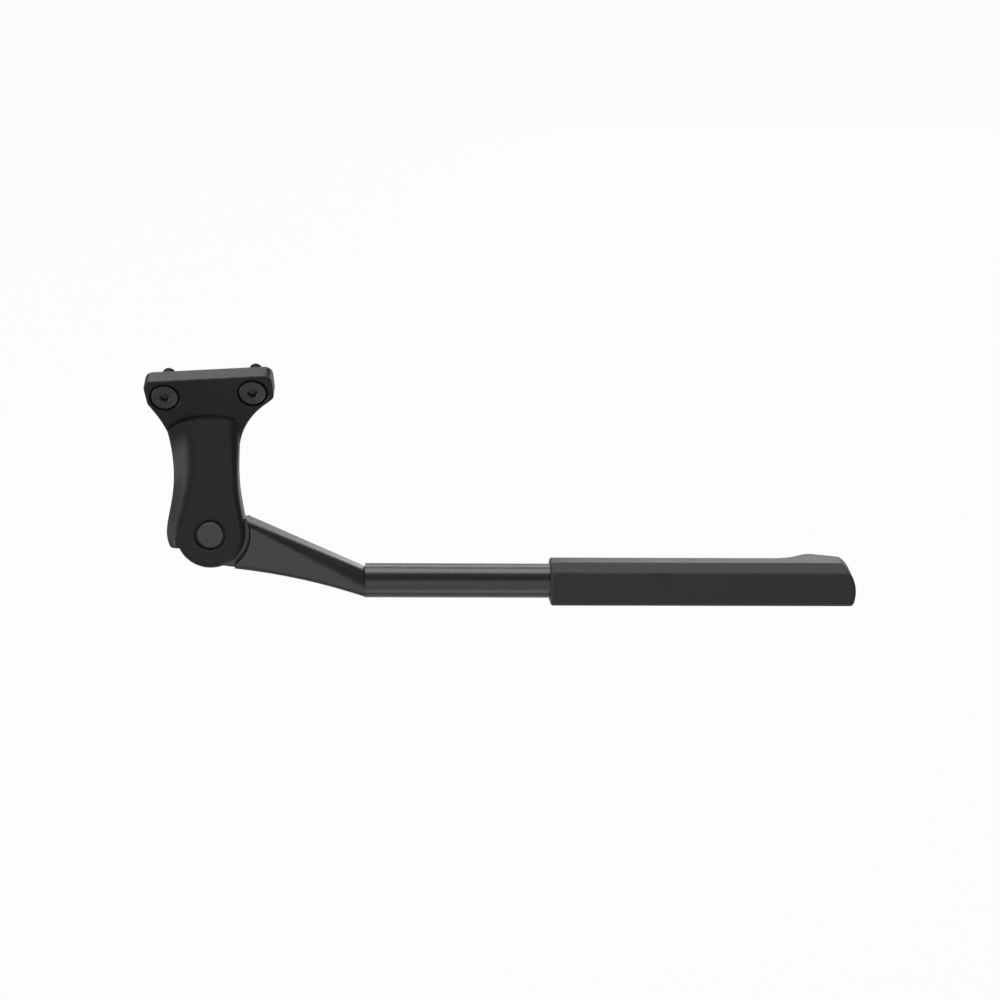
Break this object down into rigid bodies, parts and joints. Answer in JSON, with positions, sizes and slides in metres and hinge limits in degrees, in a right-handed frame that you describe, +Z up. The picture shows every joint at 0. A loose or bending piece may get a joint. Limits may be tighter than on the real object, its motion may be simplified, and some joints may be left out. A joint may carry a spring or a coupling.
{
  "type": "bicycle kickstand",
  "caption": "Direct-mount bicycle side stand: bolted bracket with a forked neck, folding forged leg held by a spring detent, and a sliding foot with a rounded sole.",
  "frame": {"origin": "centre of the bracket's mounting face, midway between the two bolts", "axes": "+X along the line of the bolts towards the rear wheel, +Y inboard, out of the mounting face and along the bolts' tips, +Z up"},
  "size_m": [0.3209, 0.0515, 0.1379],
  "materials": {
    "cast_black": "satin black coating on an aluminium casting",
    "forged_black": "satin black coating on an aluminium forging",
    "moulded_black": "matt moulded nylon",
    "bolt_black": "black-oxide steel",
    "pin_black": "satin black steel",
    "plated_steel": "zinc plated",
    "spring_steel": "oiled spring steel",
    "hard_steel": "ground hardened steel",
    "bearing_bronze": "plain bearing bronze",
    "rubber_black": "matt rubber"
  },
  "bodies": {
    "mount_side": {"bracket": "cast_black", "mounting_bolt_front": "bolt_black", "mounting_bolt_rear": "bolt_black", "pivot_pin": "pin_black", "pin_washer": "plated_steel", "retaining_ring": "spring_steel", "thrust_washer_outer": "bearing_bronze", "thrust_washer_inner": "bearing_bronze", "spring_seat": "hard_steel", "detent_spring": "spring_steel"},
    "leg_side": {"leg": "forged_black", "hub_bush": "bearing_bronze", "foot_screw": "bolt_black", "foot_washer": "plated_steel"},
    "foot": {"foot_sleeve": "moulded_black", "sleeve_seal": "rubber_black"},
    "plunger": {"detent_plunger": "hard_steel"}
  },
  "joints": [
    {"name": "leg_fold", "type": "hinge", "parent": "mount_side", "child": "leg_side", "pos_m": [-0.0047, -0.032, -0.0608], "axis": [-0.0785, 0.9107, -0.4055], "range_deg": [0, 104]},
    {"name": "foot_slide", "type": "slide", "parent": "leg_side", "child": "foot", "axis": [0.9945, 0.0431, -0.0956], "range_m": [-0.02, 0.04]},
    {"name": "detent_drop", "type": "slide", "parent": "mount_side", "child": "plunger", "axis": [0, -0.4067, -0.9135], "range_m": [0, 0.0012], "stiffness_N_per_m": 2000, "springref_m": 0.004, "deforming": ["detent_spring"]}
  ]
}
